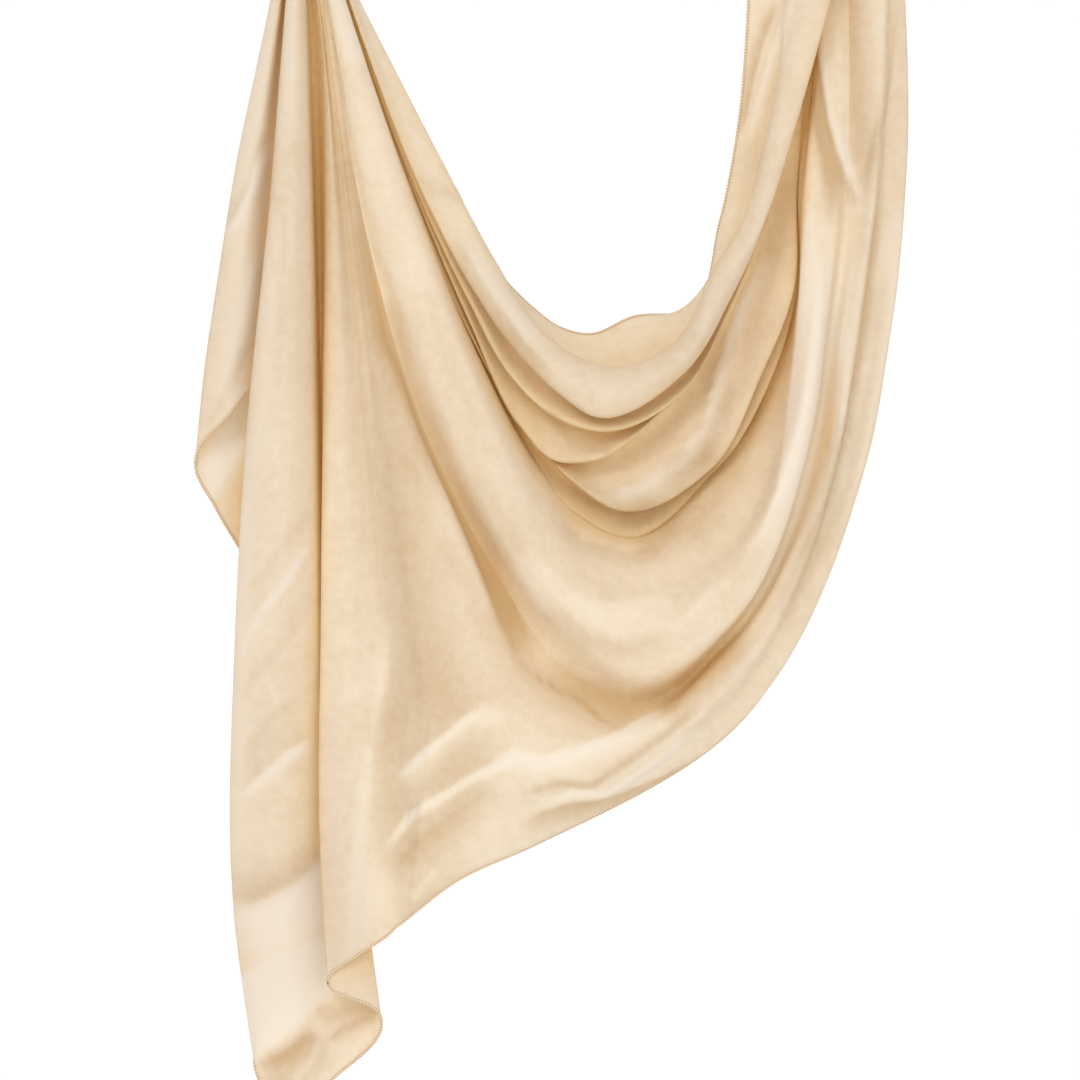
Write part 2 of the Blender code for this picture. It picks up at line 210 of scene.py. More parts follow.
def fall_row(row):
    """One row of the fall, from the left hold to the hem: across, away and up."""
    _, left_x, left_y, *across, end_x, end_down, depth_high, depth_low, depth_end = row
    depths = np.interp(DROP_SHARES, DEPTH_SHARES, (left_y, depth_high, depth_low, depth_end))
    knots = [(left_x, left_y, 0)]
    knots += [(x, depth, -share * end_down) for x, depth, share in zip(across, depths, DROP_SHARES)]
    knots.append((end_x, depth_end, -end_down))
    return smooth_line(knots, [count * FINE_ALONG for count in FALL_SPANS])


def steps_between(rows):
    """How many steps the cloth takes from each row to the next."""
    widest = np.linalg.norm(np.diff(np.asarray(rows), axis=0), axis=-1).max(axis=1)
    return [max(LEAST_STEPS, round(width / FINE_ACROSS)) for width in widest]


def places_of(rows, steps):
    """Where each named row lies in the surface that is made through the rows."""
    return {row[0]: int(place) for row, place in zip(rows, np.concatenate([[0], np.cumsum(steps)]))}


# The crinkle all over the cloth: length along it, width across it, and height
CRINKLES = ((170.0, 44.0, 0.9), (70.0, 20.0, 0.35))
CRINKLE_CALM = 3  # how fast it dies out as the cloth is pressed together
HOLD_CALM = 10.0  # how far below a hold it starts
HOLD_FADE = 60.0  # over what height it reaches its full strength


def normals(grid):
    """The cloth's normal at each point of a grid."""
    return unit(np.cross(np.gradient(grid, axis=0), np.gradient(grid, axis=1)))


def crinkled(grid, along, across):
    """A grid with the cloth's fine crinkle, which dies out where the cloth is pressed together at a hold."""
    spacing = np.linalg.norm(np.gradient(grid, axis=0), axis=-1) / np.gradient(across)[:, None]
    room = np.clip(spacing, 0, 1) * np.clip((-grid[..., 2] - HOLD_CALM) / HOLD_FADE, 0, 1)
    lift = np.zeros(grid.shape[:2])
    for length, width, height in CRINKLES:
        wave = [[noise.noise((u / length, v / width, height)) for u in along] for v in across]
        lift += np.array(wave) * height * room**CRINKLE_CALM
    return grid + normals(grid) * lift[..., None]


# How sheltered the cloth is: from every so many points, looks go out all round and meet other cloth or not.
# It is the mask for the painted shade in the cloth's colour.
SHELTER_STEP = 3  # points from one that looks out to the next
SHELTER_RAYS = 14  # looks from each
GOLDEN_ANGLE = 2.39996  # the turn from one look to the next
SHELTER_START = 0.8  # how far off the cloth a look begins
SHELTER_REACH = 70.0  # how far it goes
SHELTER_SMOOTHING = 2  # times that the result is smoothed


def shelter(grid, tree):
    """How much of the way out in front of each point is taken by other cloth, from 0 in the open to 1."""
    coarse = grid[::SHELTER_STEP, ::SHELTER_STEP]
    outward = normals(coarse)
    outward *= np.where(outward[..., 1:2] > 0, -1, 1)
    right = unit(np.gradient(coarse, axis=1))
    third = np.cross(outward, right)
    found = np.zeros(coarse.shape[:2])
    for k in range(SHELTER_RAYS):
        tilt = np.sqrt((k + 0.5) / SHELTER_RAYS)
        turn = k * GOLDEN_ANGLE
        ways = np.sqrt(1 - tilt**2) * outward + tilt * (np.cos(turn) * right + np.sin(turn) * third)
        for i, j in np.ndindex(found.shape):
            way = ways[i, j]
            away = tree.ray_cast(coarse[i, j] + way * SHELTER_START, way, SHELTER_REACH)[3]
            if away is not None:
                found[i, j] += (1 - away / SHELTER_REACH) / SHELTER_RAYS
    columns = np.arange(0, grid.shape[1], SHELTER_STEP)
    rows = np.arange(0, grid.shape[0], SHELTER_STEP)
    for _ in range(SHELTER_SMOOTHING):
        found[1:-1] = (found[:-2] + 2 * found[1:-1] + found[2:]) / 4
        found[:, 1:-1] = (found[:, :-2] + 2 * found[:, 1:-1] + found[:, 2:]) / 4
    wide = np.array([np.interp(np.arange(grid.shape[1]), columns, line) for line in found])
    return np.array([np.interp(np.arange(grid.shape[0]), rows, line) for line in wide.T]).T


def flat_places(grid):
    """Where each column and each row of a grid lies on the flat cloth."""
    along = np.linalg.norm(np.diff(grid, axis=1), axis=-1).mean(axis=0)
    across = np.linalg.norm(np.diff(grid, axis=0), axis=-1).max(axis=1)
    return np.concatenate([[0], along.cumsum()]), np.concatenate([[0], across.cumsum()])


# The swag's last row runs down to the hem's corner, and the fall goes on from it there, in one surface
swag_rows = [swag_row(row) for row in SWAG_ROWS]
fall_rows = [fall_row(row) for row in FALL_ROWS]
meeting = sum(SWAG_SPANS[:CORNER]) * FINE_ALONG
swag_steps = steps_between(swag_rows)
fall_steps = steps_between([swag_rows[-1][: meeting + 1]] + fall_rows)
left_side = smooth_line([row[: meeting + 1] for row in swag_rows] + fall_rows, swag_steps + fall_steps)
right_side = smooth_line([row[meeting:] for row in swag_rows], swag_steps)
swag_height = sum(swag_steps) + 1
fade = np.clip(1 - np.arange(right_side.shape[1]) / (MEETING_SPANS * FINE_ALONG), 0, 1)[None, :, None]
right_side += (left_side[:swag_height, -1:] - right_side[:, :1]) * fade
whole_swag = np.concatenate([left_side[:swag_height], right_side[:, 1:]], axis=1)
outer_rows = [fall_row(row) for row in OUTER_ROWS]
outer_steps = steps_between(outer_rows)
whole_outer = smooth_line(outer_rows, outer_steps)

left_along, left_across = flat_places(left_side)
right_along, _ = flat_places(right_side)
swag_flat = (np.concatenate([left_along, left_along[-1] + right_along[1:]]), left_across[:swag_height])
fall_flat = (left_along, left_across[swag_height - 1 :])
outer_flat = flat_places(whole_outer)
swag = crinkled(whole_swag, *swag_flat)
fall = crinkled(left_side[swag_height - 1 :], *fall_flat)
fall[0] = swag[-1, : meeting + 1]
outer = crinkled(whole_outer, *outer_flat)

swag_places = places_of(SWAG_ROWS, swag_steps)
fall_places = places_of((SWAG_ROWS[-1], *FALL_ROWS), fall_steps)
outer_places = places_of(OUTER_ROWS, outer_steps)


def quads_of(grid, before):
    """The faces of a grid whose points come after so many others."""
    rows, columns = grid.shape[:2]
    corner = before + np.arange(rows - 1)[:, None] * columns + np.arange(columns - 1)
    around = (corner, corner + columns, corner + columns + 1, corner + 1)
    return np.stack(around, axis=-1).reshape(-1, 4)


corners = []
quads = []
for grid in (swag, fall, outer):
    quads += quads_of(grid, len(corners)).tolist()
    corners += grid.reshape(-1, 3).tolist()
everything = BVHTree.FromPolygons(corners, quads)
# Each surface with its flat places, where its rows lie in it, and how sheltered it is, which masks its
# painted shade
SURFACES = {
    "swag": (swag, swag_flat, swag_places, shelter(swag, everything)),
    "fall": (fall, fall_flat, fall_places, shelter(fall, everything)),
    "outer": (outer, outer_flat, outer_places, shelter(outer, everything)),
}


# How creases lie on the cloth
CREASE_FADE = 0.25  # share of its length over which a crease dies out at each end
CREASE_FACING = 3  # how fast it reaches its full height as the cloth turns to the viewer
SEAM_ROWS = 4  # rows over which it dies out at a stretch's edge
PAINTED_SHADE_STRENGTH = 1.0  # how strongly sheltered cloth gets painted shade, darker and warmer


def along_line(grid, above, below, line):
    """How near each point of a grid lies to a line that is drawn from left to right.

    It is 1 on the line, and fades to its sides, above and below, and towards its ends.
    """
    line = np.array(line, float) * (1, -1)
    places = grid[..., ::2]
    lengths = np.linalg.norm(np.diff(line, axis=0), axis=1)
    nearest = np.full(grid.shape[:2], np.inf)
    side = np.zeros(grid.shape[:2])
    travelled = np.zeros(grid.shape[:2])
    for start, end, length, before in zip(line, line[1:], lengths, lengths.cumsum() - lengths):
        way = (end - start) / length
        share = np.clip((places - start) @ way / length, 0, 1)
        off = places - start - share[..., None] * (end - start)
        away = np.linalg.norm(off, axis=-1)
        closer = away < nearest
        nearest = np.where(closer, away, nearest)
        side = np.where(closer, way[0] * off[..., 1] - way[1] * off[..., 0], side)
        travelled = np.where(closer, before + share * length, travelled)
    done = travelled / lengths.sum()
    ends = np.clip(np.minimum(done, 1 - done) / CREASE_FADE, 0, 1)
    return np.exp(-((nearest / np.where(side > 0, above, below)) ** 2)) * ends * (2 - ends)


def stretch(surface, first, last, creases):
    """A stretch of a surface from one row to another, with its own creases.

    It gives the points, their places along and across the flat cloth, and their painted tone and painted
    shade.
    """
    whole, (along, across), places, sheltered = SURFACES[surface]
    inside = slice(places[first], places[last] + 1)
    grid = whole[inside]
    normal = normals(grid)
    facing = np.clip(-CREASE_FACING * normal[..., 1], -1, 1)
    from_seam = np.minimum(np.arange(len(grid)), np.arange(len(grid))[::-1])
    loose = np.clip(from_seam / SEAM_ROWS, 0, 1)[:, None]
    lift = np.zeros(grid.shape[:2])
    painted_tone = np.zeros(grid.shape[:2])
    # Painted shade: the more sheltered the cloth, the darker and warmer its colour
    shade = sheltered[inside] * PAINTED_SHADE_STRENGTH
    for height, painted_shading, above, below, *line in creases:
        near = along_line(grid, above, below, line)
        lift += height * near * facing * loose
        # A value above 0 paints shade along the crease, one below 0 paints light
        painted_tone += painted_shading * near
        # Painted light also takes away painted shade
        shade += min(painted_shading, 0) * near
    return grid + normal * lift[..., None], along, across[inside], painted_tone, np.clip(shade, 0, 1)


def add_cloth(name, node, parts):
    """A piece of cloth from stretches that share their edges, with its flat places as the UV map."""
    points = []
    painted_tones = []
    shades = []
    faces = []
    flat = []
    for grid, along, across, painted_tone, shade in parts:
        quads = quads_of(grid, len(points))
        places = np.stack(np.meshgrid(along, across), axis=-1).reshape(-1, 2) * MM
        flat.append(places[quads.reshape(-1) - len(points)])
        faces += quads.tolist()
        points += (grid.reshape(-1, 3) * MM).tolist()
        painted_tones.append(painted_tone.reshape(-1))
        shades.append(shade.reshape(-1))
    mesh = bpy.data.meshes.new(name)
    mesh.from_pydata(points, [], faces)
    mesh.uv_layers.new(name="flat_cloth").data.foreach_set("uv", np.concatenate(flat).reshape(-1))
    for key, values in (("painted_tone", painted_tones), ("shade", shades)):
        mesh.attributes.new(key, "FLOAT", "POINT").data.foreach_set("value", np.concatenate(values))
    if len(parts) > 1:
        welded = bmesh.new()
        welded.from_mesh(mesh)
        bmesh.ops.remove_doubles(welded, verts=welded.verts, dist=WELD)
        welded.to_mesh(mesh)
        welded.free()
    mesh.shade_smooth()
    mesh.materials.append(weave)
    made = bpy.data.objects.new(name, mesh)
    thickness = made.modifiers.new("Cloth thickness", "SOLIDIFY")
    thickness.thickness = CLOTH * MM
    thickness.offset = 0
    thickness.use_rim = False
    bpy.context.scene.collection.objects.link(made)
    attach(made, "root")
    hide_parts(node)
    return made


# The cloth's material: sheer, so light comes through it. One point attribute holds painted shading, given
# crease
# by crease: painted shade along troughs and where the cloth is doubled, painted light on ridges and where it
# is a single layer, with noise to mottle it. The other holds painted shade, which darkens and warms what
# lies deep in a fold.
# Tones from the palest, for painted light, through the cloth's own tone, to the deepest, for painted shade,
# each with its place
CLOTH_AND_PAINTED_TONES = (
    (0.05, (0.935, 0.86, 0.75, 1)),
    (0.35, (0.915, 0.815, 0.66, 1)),
    (0.65, (0.83, 0.70, 0.525, 1)),
    (1.0, (0.74, 0.56, 0.345, 1)),
)
# The darker, warmer tint that the painted shade multiplies into the colour deep in the folds
PAINTED_SHADE_TINT = (1.0, 0.81, 0.40, 1)
# Clouds, wrinkles and slubs that mottle the painted tone: waves to a metre, detail, and how much they add
MOTTLES = ((26, 5, 0.24), (150, 6, 0.36), (700, 3, 0.2))
SHEER = 0.4  # share of the light that comes through
THREADS_SCALE = 260
THREADS_WAVER = 3
weave = bpy.data.materials.new("crinkled_cloth")
weave.use_nodes = True
nodes = weave.node_tree.nodes
links = weave.node_tree.links
shader = nodes["Principled BSDF"]
shader.inputs["Roughness"].default_value = 0.85
shader.inputs["Specular IOR Level"].default_value = 0.2
shader.inputs["Sheen Weight"].default_value = 0.1
in_space = nodes.new("ShaderNodeTexCoord")
on_cloth = nodes.new("ShaderNodeUVMap")
on_cloth.uv_map = "flat_cloth"


def attribute(name):
    """What a point attribute of the cloth holds."""
    made = nodes.new("ShaderNodeAttribute")
    made.attribute_name = name
    return made.outputs["Fac"]


def cloth_noise(waves, detail):
    """Noise through the cloth, with so many waves to a metre."""
    made = nodes.new("ShaderNodeTexNoise")
    made.inputs["Scale"].default_value = waves
    made.inputs["Detail"].default_value = detail
    links.new(in_space.outputs["Object"], made.inputs["Vector"])
    return made.outputs["Fac"]


def sum_of(one, two, factor):
    """One output and another added, the second times a factor."""
    made = nodes.new("ShaderNodeMath")
    made.operation = "MULTIPLY_ADD"
    made.inputs[1].default_value = factor
    links.new(two, made.inputs[0])
    links.new(one, made.inputs[2])
    return made.outputs[0]


def bumped(height, strength, depth):
    """A bump of the cloth's face, so many metres deep."""
    made = nodes.new("ShaderNodeBump")
    made.inputs["Strength"].default_value = strength
    made.inputs["Distance"].default_value = depth
    links.new(height, made.inputs["Height"])
    return made


# The painted tone, mottled with noise, picks the colour from the tones below
painted_tone_and_mottle = attribute("painted_tone")
for waves, detail, share in MOTTLES:
    painted_tone_and_mottle = sum_of(painted_tone_and_mottle, cloth_noise(waves, detail), share)
painted_tones = nodes.new("ShaderNodeValToRGB")
for stop, (place, colour) in zip(painted_tones.color_ramp.elements, (CLOTH_AND_PAINTED_TONES[0], CLOTH_AND_PAINTED_TONES[-1])):
    stop.position = place
    stop.color = colour
for place, colour in CLOTH_AND_PAINTED_TONES[1:-1]:
    painted_tones.color_ramp.elements.new(place).color = colour
links.new(painted_tone_and_mottle, painted_tones.inputs["Fac"])
# Painted shade: the colour multiplied towards that tint where the cloth is sheltered
painted_shade_colour = nodes.new("ShaderNodeMixRGB")
painted_shade_colour.blend_type = "MULTIPLY"
painted_shade_colour.inputs["Color2"].default_value = PAINTED_SHADE_TINT
links.new(attribute("shade"), painted_shade_colour.inputs["Fac"])
links.new(painted_tones.outputs["Color"], painted_shade_colour.inputs["Color1"])
links.new(painted_shade_colour.outputs["Color"], shader.inputs["Base Color"])

woven = nodes.new("ShaderNodeMath")
woven.operation = "MULTIPLY"
for place, direction in enumerate("XY"):
    threads = nodes.new("ShaderNodeTexWave")
    threads.bands_direction = direction
    threads.inputs["Scale"].default_value = THREADS_SCALE
    threads.inputs["Distortion"].default_value = THREADS_WAVER
    threads.inputs["Detail"].default_value = 2
    links.new(on_cloth.outputs["UV"], threads.inputs["Vector"])
    links.new(threads.outputs["Fac"], woven.inputs[place])
weave_bump = bumped(woven.outputs[0], 0.5, 0.0002)
crinkle_bump = bumped(cloth_noise(110, 5), 0.6, 0.0012)
links.new(weave_bump.outputs["Normal"], crinkle_bump.inputs["Normal"])
links.new(crinkle_bump.outputs["Normal"], shader.inputs["Normal"])

through = nodes.new("ShaderNodeBsdfTranslucent")
links.new(painted_shade_colour.outputs["Color"], through.inputs["Color"])
sheer = nodes.new("ShaderNodeMixShader")
sheer.inputs[0].default_value = SHEER
links.new(shader.outputs[0], sheer.inputs[1])
links.new(through.outputs[0], sheer.inputs[2])
links.new(sheer.outputs[0], nodes["Material Output"].inputs["Surface"])

# The front roll
# --------------
# The top edge of the cloth and the thick soft roll below it, which sags nearest the viewer.
# Left and right it narrows into the gathers, and its upper edge stands up behind as a low collar.
# crease: height towards the viewer, how much painted shade it lays on (below 0, painted light), how wide
# above its line and below it, and the line's points from left to right, across and down. One with no height
# is a soft patch of painted shade, or of painted light where its value is below 0.
ROLL_CREASES = (
    (-1.2, 0.08, 2, 4, (206, 322), (212, 338), (215, 354)),
    (-1.6, 0.15, 5, 5, (84, 176), (100, 186), (118, 196)),
    (1.2, -0.15, 7, 7, (120, 236), (146, 272), (176, 300)),
    (-1.0, 0, 5, 5, (236, 300), (268, 286), (300, 246)),
    (-2.0, 0.4, 5, 1.5, (326, 148), (331, 125), (335, 102), (342, 76), (354, 45)),
    (1.4, -0.2, 2, 5, (333, 150), (340, 120), (350, 84), (366, 40)),
    (0.5, 0.35, 2, 12, (110, 224), (135, 262), (164, 304), (188, 330)),
    (0.5, 0.05, 2, 9, (240, 345), (272, 326), (306, 280), (330, 226)),
    (0, 0.1, 14, 14, (326, 200), (344, 120), (356, 60), (362, 20)),
)
roll_parts = [stretch("swag", "top_edge", "under_roll", ROLL_CREASES)]
front_roll = add_cloth("front_roll_cloth", "front_roll", roll_parts)

# The inner folds
# ---------------
# Narrow folds behind the roll, one below the other, where the cloth is doubled and lies in shade, with
# painted shade laid on too.
# The great fold is the widest, and a pale band slants over it where it is a single layer, painted light
# along its ridge.
INNER_CREASES = (
    (-1.4, 0.3, 9, 9, (226, 400), (262, 378), (300, 334), (326, 282)),
    (1.6, -0.35, 2, 8, (221, 420), (250, 409), (281, 390), (299, 367), (309, 322), (325, 277), (346, 232)),
    (0.8, -0.3, 6, 3, (206, 345), (232, 349), (262, 334)),
    (-1.2, 0.2, 4, 4, (178, 350), (200, 376), (232, 382)),
    (0.6, 0.35, 14, 3, (186, 400), (214, 424), (240, 430), (270, 418)),
    (0, 0.3, 12, 12, (322, 345), (336, 300), (348, 250), (358, 200), (364, 160)),
    (0, 0.5, 8, 8, (262, 410), (296, 386), (322, 330)),
    (0, 0.3, 10, 10, (226, 442), (262, 428), (290, 405), (316, 372)),
)
inner_parts = [stretch("swag", "under_roll", "pocket", INNER_CREASES)]
inner_folds = add_cloth("inner_folds_cloth", "inner_folds", inner_parts)

# The swag panel
# --------------
# The broad front fold from the left gather, which widens into the open sag and rises to the right hold.
# Its upper edge lies over the inner folds, and two soft ridges cross the sag.
# Lines that lie on this panel and the main one, so both have them among their creases: painted shade along
# the trough, below the sag and beside the flap, and painted light along the right band
LEFT_TROUGH = ((60, 262), (74, 330), (89, 360), (100, 390), (115, 420), (130, 450), (160, 510), (175, 532))
BELOW_SAG = ((180, 540), (210, 560), (240, 572), (275, 566), (304, 545), (340, 500))
RIGHT_BAND = ((280, 546), (330, 510), (352, 470), (368, 430), (384, 350), (394, 296), (402, 220))
BESIDE_FLAP = ((381, 70), (388, 140), (391, 170), (396, 215))
PANEL_CREASES = (
    (2.0, -0.18, 8, 16, (160, 457), (190, 487), (220, 504), (250, 499), (280, 487)),
    (-1.8, 0.2, 9, 9, (176, 500), (206, 524), (236, 532), (276, 520)),
    (1.4, -0.1, 3, 8, (213, 510), (243, 519), (280, 510), (320, 470)),
    (-1.2, 0.15, 8, 8, (90, 262), (112, 330), (142, 396)),
    (0, 0.15, 14, 1.5, (322, 452), (337, 443), (350, 412), (358, 367), (364, 315), (368, 270), (373, 195)),
    (0.8, -0.3, 1.5, 9, (326, 455), (341, 446), (353, 414), (361, 367), (367, 315), (371, 270), (376, 195)),
    (0, 0.14, 30, 30, (110, 390), (180, 480), (250, 500), (320, 460), (350, 400)),
    (0, 0.4, 9, 7, *LEFT_TROUGH),
    (0, 0.55, 9, 14, *BELOW_SAG),
    (0, 0.4, 16, 16, (240, 456), (290, 440), (318, 400), (340, 330)),
    (0, -0.25, 8, 8, (14, 15), (28, 55), (42, 95)),
    (2.0, -0.4, 4, 2.5, (385, 80), (394, 137), (404, 164), (415, 197)),
    (-1.8, 0.5, 2.5, 9, (381, 80), (389, 138), (400, 168), (412, 200)),
    (0, 0.5, 7, 7, *BESIDE_FLAP),
    (0, -0.4, 9, 9, *RIGHT_BAND),
    (1.8, -0.3, 6, 4, (352, 430), (368, 390), (377, 345), (384, 290), (386, 235)),
    (0, 0.25, 3, 10, (186, 430), (206, 452), (240, 462), (276, 452)),
)
panel_parts = [stretch("swag", "pocket", "valley", PANEL_CREASES)]
swag_panel = add_cloth("swag_panel_cloth", "swag_panel", panel_parts)

# The main panel
# --------------
# The wide flat part between the sag and the front fall, down to the slanting hem.
# Light lines cross it above the hem, painted light along low ridges where the cloth behind ends, and below
# them it is a single layer, painted paler.
MAIN_CREASES = (
    (0, 0.45, 9, 14, *BELOW_SAG),
    (0, -0.2, 10, 10, (390, 450), (416, 360), (434, 280), (442, 190)),
    (0, 0.4, 9, 7, *LEFT_TROUGH),
    (0, 0.28, 18, 18, (56, 560), (64, 620), (72, 690), (84, 760)),
    (0, 0.3, 30, 34, (22, 40), (38, 190), (54, 320), (76, 450), (96, 560), (106, 640), (104, 820)),
    (0, 0.42, 14, 14, (36, 120), (48, 200), (56, 260), (70, 320), (84, 360), (100, 420)),
    (0, 0.25, 12, 6, (84, 350), (104, 400), (118, 440), (136, 485), (164, 550)),
    (0, 0.12, 26, 26, (90, 520), (120, 590), (140, 640)),
    (0, 0.15, 2.5, 2.5, (13, -40), (14, 80), (15, 200), (15, 340), (14, 460)),
    (0, 0.18, 9, 9, (100, 440), (122, 480), (146, 540)),
    (0, 0.22, 10, 10, (345, 515), (367, 480), (389, 420), (404, 350)),
    (0, -0.4, 9, 9, *RIGHT_BAND),
    (0, 0.7, 7, 7, *BESIDE_FLAP),
    (1.8, -0.25, 3, 10, (59, 300), (69, 327), (80, 361), (87, 377), (97, 400), (115, 442), (133, 485),
     (142, 510)),
    (-0.4, 0.4, 24, 3, (72, 327), (83, 361), (90, 377), (100, 400), (118, 442), (136, 485), (160, 540)),
    (0.4, 0.2, 30, 26, (140, 530), (176, 560), (214, 580), (256, 580)),
    (-2.0, 0.12, 18, 18, (56, 360), (67, 435), (73, 495), (70, 562), (66, 620)),
    (-1.4, 0.12, 8, 8, (42, 210), (48, 247), (54, 277), (63, 300), (70, 322)),
    (-0.8, 0.3, 2, 2, (157, 541), (175, 555), (205, 570), (220, 583), (235, 592)),
    (0.8, -0.35, 3, 12, (66, 630), (85, 614), (104, 598), (123, 583), (134, 577), (153, 581)),
    (0, -0.45, 2.5, 2.5, (70, 627), (85, 614), (104, 598), (123, 583), (134, 577)),
    (0.8, -0.55, 2.5, 10, (140, 614), (156, 609), (175, 614), (202, 607), (235, 596), (270, 576)),
    (1.0, -0.6, 2.5, 4, (59, 682), (67, 671), (78, 656), (100, 643), (127, 626), (160, 612)),
    (-0.9, 0.15, 3, 9, (62, 700), (84, 676), (112, 654), (146, 632)),
    (-1.4, 0.35, 4, 3, (160, 641), (190, 632), (213, 634), (235, 619), (262, 600), (296, 572)),
    (1.4, -0.4, 2, 5, (172, 648), (200, 638), (226, 638), (262, 616), (296, 588)),
    (-0.9, 0.45, 2.5, 9, (160, 664), (179, 654), (198, 648), (220, 646), (235, 641), (265, 630), (297, 612)),
    (1.4, -0.1, 5, 5, (350, 490), (378, 440), (396, 385), (403, 330), (404, 285)),
    (-1.6, 0.35, 3, 4, (366, 470), (388, 424), (404, 367), (417, 300), (428, 217), (432, 181)),
    (2.0, -0.4, 4, 2.5, (385, 92), (394, 137), (404, 164), (415, 197)),
    (-1.8, 0.5, 2.5, 9, (381, 94), (389, 138), (400, 168), (412, 200)),
    (0, 0.4, 12, 12, (406, -40), (408, 60), (412, 120), (418, 200)),
    (1.2, 0.25, 3, 2.5, (419, 196), (425, 160), (431, 134), (437, 102), (443, 45)),
    (-1.2, 0.25, 5, 5, (386, 468), (408, 400), (424, 320), (436, 230)),
    (1.0, -0.2, 5, 5, (34, 770), (40, 690), (50, 600), (64, 500)),
    (1.2, -0.2, 4, 4, (78, 720), (89, 707), (100, 694)),
    (0, -0.15, 20, 30, (30, 720), (60, 716), (100, 700), (150, 670)),
)
main_parts = [stretch("swag", "valley", "hem", MAIN_CREASES), stretch("fall", "hem", "gap", MAIN_CREASES)]
main_panel = add_cloth("main_panel_cloth", "main_panel", main_parts)

# The front fall
# --------------
# The long end that hangs straight down from the left hold in one round fold, nearly to the lowest tip.
# Slanting creases cross it, with painted shade and painted light along them, and below a diagonal fold it
# hangs as a single layer, painted paler.
FALL_CREASES = (
    (0, -0.12, 12, 12, (-16, 10), (-14, 60), (-13, 160)),
    (0, 0.15, 3, 3, (3, -60), (5, 80), (8, 215), (10, 362), (14, 520)),
    (-0.9, 0.14, 3, 7, (-47, 493), (-26, 468), (-5, 440), (5, 427)),
    (0.7, -0.4, 2.5, 3, (-50, 538), (-33, 505), (-16, 484), (3, 452)),
    (-0.8, 0.12, 9, 3, (-52, 570), (-34, 548), (-14, 528), (4, 500)),
    (-0.9, 0.16, 3, 12, (-52, 622), (-36, 592), (-20, 578), (-4, 566)),
    (0.9, -0.5, 2.5, 5, (-52, 645), (-25, 622), (-12, 610), (4, 600)),
    (0, -0.2, 8, 8, (-42, 360), (-48, 480), (-50, 620), (-52, 700)),
    (0, 0.12, 14, 3, (-52, 640), (-25, 617), (-12, 605), (4, 595)),
    (1.8, 0.4, 16, 4.5, (-51, 728), (-27, 715), (-12, 707), (-1, 700), (4, 691), (9, 680)),
    (-1.4, -0.42, 4.5, 60, (-60, 734), (-27, 720), (-12, 712), (0, 704), (8, 692), (20, 682)),
    (0, -0.54, 60, 60, (-40, 770), (-26, 800), (-10, 820)),
    (0.7, -0.3, 3, 3, (-23, 746), (-12, 727), (-1, 709)),
    (-1.4, 0.45, 4, 7, (-36, 845), (-12, 833), (7, 817)),
    (1.4, -0.3, 3, 4, (-13, 856), (2, 843), (10, 829)),
    (-1.0, 0.1, 8, 8, (-22, 340), (-16, 240), (-10, 120)),
    (0.9, -0.12, 8, 8, (-38, 400), (-30, 320), (-22, 200)),
    (-1.4, 0.35, 3, 6, (13, 828), (26, 819), (40, 812), (54, 804)),
    (0, 0.38, 14, 14, (-28, 868), (-6, 842), (16, 826)),
    (0, 0.32, 8, 8, (0, 796), (20, 808), (56, 800)),
)
fall_parts = [stretch("fall", "gap", "side_tuck", FALL_CREASES)]
front_fall = add_cloth("front_fall_cloth", "front_fall", fall_parts)

# The outer end
# -------------
# The scarf's short end, of the same cloth, which hangs behind the front fall on the left.
# It comes out of the same hold, rolls once round itself and ends in a slanting corner.
OUTER_CREASES = (
    (-1.2, 0.25, 6, 3, (-58, 216), (-42, 184), (-29, 146)),
    (0.9, -0.3, 2.5, 5, (-60, 224), (-43, 192), (-30, 154)),
    (1.2, -0.15, 6, 6, (-62, 340), (-48, 290), (-36, 230)),
    (-1.2, 0.2, 6, 6, (-76, 372), (-56, 340), (-40, 300)),
    (1.0, -0.3, 6, 6, (-74, 420), (-62, 398), (-44, 372)),
    # Painted light that lifts the shadow of the front fall off this end
    (0, -0.18, 17, 17, (-26, 30), (-36, 180), (-40, 270), (-46, 390)),
    (0, -0.25, 10, 10, (-76, 410), (-62, 375), (-50, 330)),
)
outer_parts = [stretch("outer", "outer_tuck", "under_edge", OUTER_CREASES)]
outer_fall = add_cloth("outer_end_cloth", "outer_fall", outer_parts)

# The rolled hems
# ---------------
# Each edge that shows is rolled to about 2 mm and whipped over with a slightly darker thread.
# The roll lies just inside the cloth's edge, and the thread winds round it.
HEM_RADIUS = 1.05
HEM_SIDES = 8
HEM_STEP = 4.0
STITCH_PITCH = 2.4
STITCH_STEPS = 8  # points in each turn of the thread
THREAD_RADIUS = 0.2
THREAD_SIDES = 4


def spun(name, roughness, grain, dark, pale):
    """A matt material of spun fibres, mottled between two tones."""
    made = bpy.data.materials.new(name)
    made.use_nodes = True
    parts = made.node_tree.nodes
    fibres = parts.new("ShaderNodeTexNoise")
    fibres.inputs["Scale"].default_value = grain
    fibre_tones = parts.new("ShaderNodeValToRGB")
    fibre_tones.color_ramp.elements[0].color = dark
    fibre_tones.color_ramp.elements[1].color = pale
    surface = parts["Principled BSDF"]
    surface.inputs["Roughness"].default_value = roughness
    made.node_tree.links.new(fibres.outputs["Fac"], fibre_tones.inputs["Fac"])
    made.node_tree.links.new(fibre_tones.outputs["Color"], surface.inputs["Base Color"])
    return made


hem_cloth = spun("rolled_hem", 0.85, 420, (0.64, 0.47, 0.29, 1), (0.80, 0.63, 0.43, 1))
thread = spun("hem_thread", 0.7, 900, (0.34, 0.20, 0.10, 1), (0.50, 0.32, 0.17, 1))


